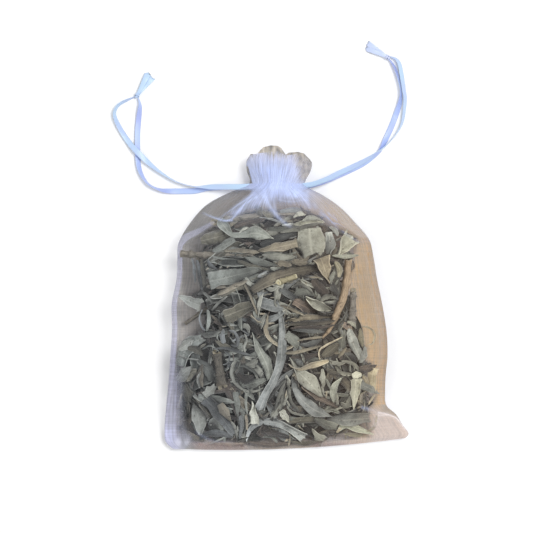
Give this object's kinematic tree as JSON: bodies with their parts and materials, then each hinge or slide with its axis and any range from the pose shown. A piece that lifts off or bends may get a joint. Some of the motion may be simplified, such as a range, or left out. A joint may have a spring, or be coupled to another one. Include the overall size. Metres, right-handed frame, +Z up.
{
  "type": "sage bunch in drawstring pouch",
  "caption": "Sheer gathered pouch filled with dried sage leaves and leafy stems, closed by a drawstring with knotted ribbon loops, lying on its back.",
  "frame": {"origin": "bottom centre of the box round the pouch without its ribbon loops, on the surface it lies on", "axes": "+Y from the sewn bottom to the gathered mouth, +Z up from the surface through the filled front, +X to the right as seen from above with the mouth away"},
  "size_m": [0.1583, 0.2198, 0.0385],
  "materials": {
    "sheer_cloth": "sheer organza weave with a faint lilac sheen",
    "satin_ribbon": "satin ribbon, pale blue white",
    "leaf_mint": "dried felted leaf, grey green",
    "leaf_pale": "dried felted leaf, pale silver green",
    "leaf_blue_grey": "dried felted leaf, blue grey",
    "leaf_olive": "dried leaf in shade, olive",
    "leaf_tan": "dried leaf turned tan",
    "leaf_straw": "dried leaf turned straw yellow",
    "leaf_brown": "dried leaf turned brown",
    "stem_bark": "dry woody stem, grey brown",
    "stem_tan": "dry woody stem, tan",
    "stem_straw": "dry cut stem, straw yellow"
  },
  "bodies": {
    "root": {"organza_pouch": "sheer_cloth", "drawstring_in_casing": "satin_ribbon", "ribbon_left_outer": "satin_ribbon", "ribbon_left_inner": "satin_ribbon", "ribbon_right_outer": "satin_ribbon", "ribbon_right_inner": "satin_ribbon", "knot_left": "satin_ribbon", "knot_right": "satin_ribbon", "leaf_curled_pale": "leaf_mint", "leaf_beige_long": "leaf_tan", "leaf_square_broad": "leaf_pale", "leaf_round_blue": "leaf_blue_grey", "leaf_wedge_green": "leaf_pale", "leaf_centre_long": "leaf_blue_grey", "leaf_elbow_thin": "leaf_straw", "stem_long_tan": "stem_tan", "stem_upper_grey": "stem_bark", "stem_cut_yellow": "stem_straw", "leaf_triangle_tan": "leaf_tan", "leaf_tan_large": "leaf_tan", "leaf_broad_grey": "leaf_mint", "leaf_crumpled_white": "leaf_pale", "leaf_folded_tan": "leaf_tan", "leaf_blade_grey": "leaf_mint", "leaf_yellow_narrow": "leaf_straw", "leaf_broad_pale": "leaf_pale", "leaf_lower_arc": "leaf_blue_grey", "leaf_cupped_loop": "leaf_pale", "stem_square_grey": "stem_bark", "leaf_diagonal_blue": "leaf_blue_grey", "leaf_spotted_pale": "leaf_pale", "leaf_bright_shard": "leaf_pale", "leaf_arched_low": "leaf_blue_grey", "leaf_tall_pale": "leaf_pale", "leaf_curly_white": "leaf_pale", "leaf_edge_yellow": "leaf_straw", "leaf_grey_wide": "leaf_blue_grey", "leaf_corner_green": "leaf_mint", "leaf_left_crumpled": "leaf_mint", "leaf_left_low": "leaf_olive", "leaf_fan_left": "leaf_pale", "leaf_olive_square": "leaf_olive", "stem_right_dark": "stem_bark", "leaf_right_lilac": "leaf_blue_grey", "leaf_brown_smooth": "leaf_brown", "leaf_brown_folds": "leaf_olive", "stem_upper_dark": "stem_bark", "leaf_blue_folded": "leaf_blue_grey", "leaf_fan_upper": "leaf_pale", "sprig_01": "leaf_olive", "sprig_02": "leaf_pale", "sprig_03": "leaf_mint", "sprig_04": "leaf_olive", "sprig_05": "leaf_pale", "sprig_06": "leaf_mint", "sprig_07": "leaf_olive", "sprig_08": "leaf_pale", "sprig_09": "leaf_mint"}
  },
  "joints": []
}
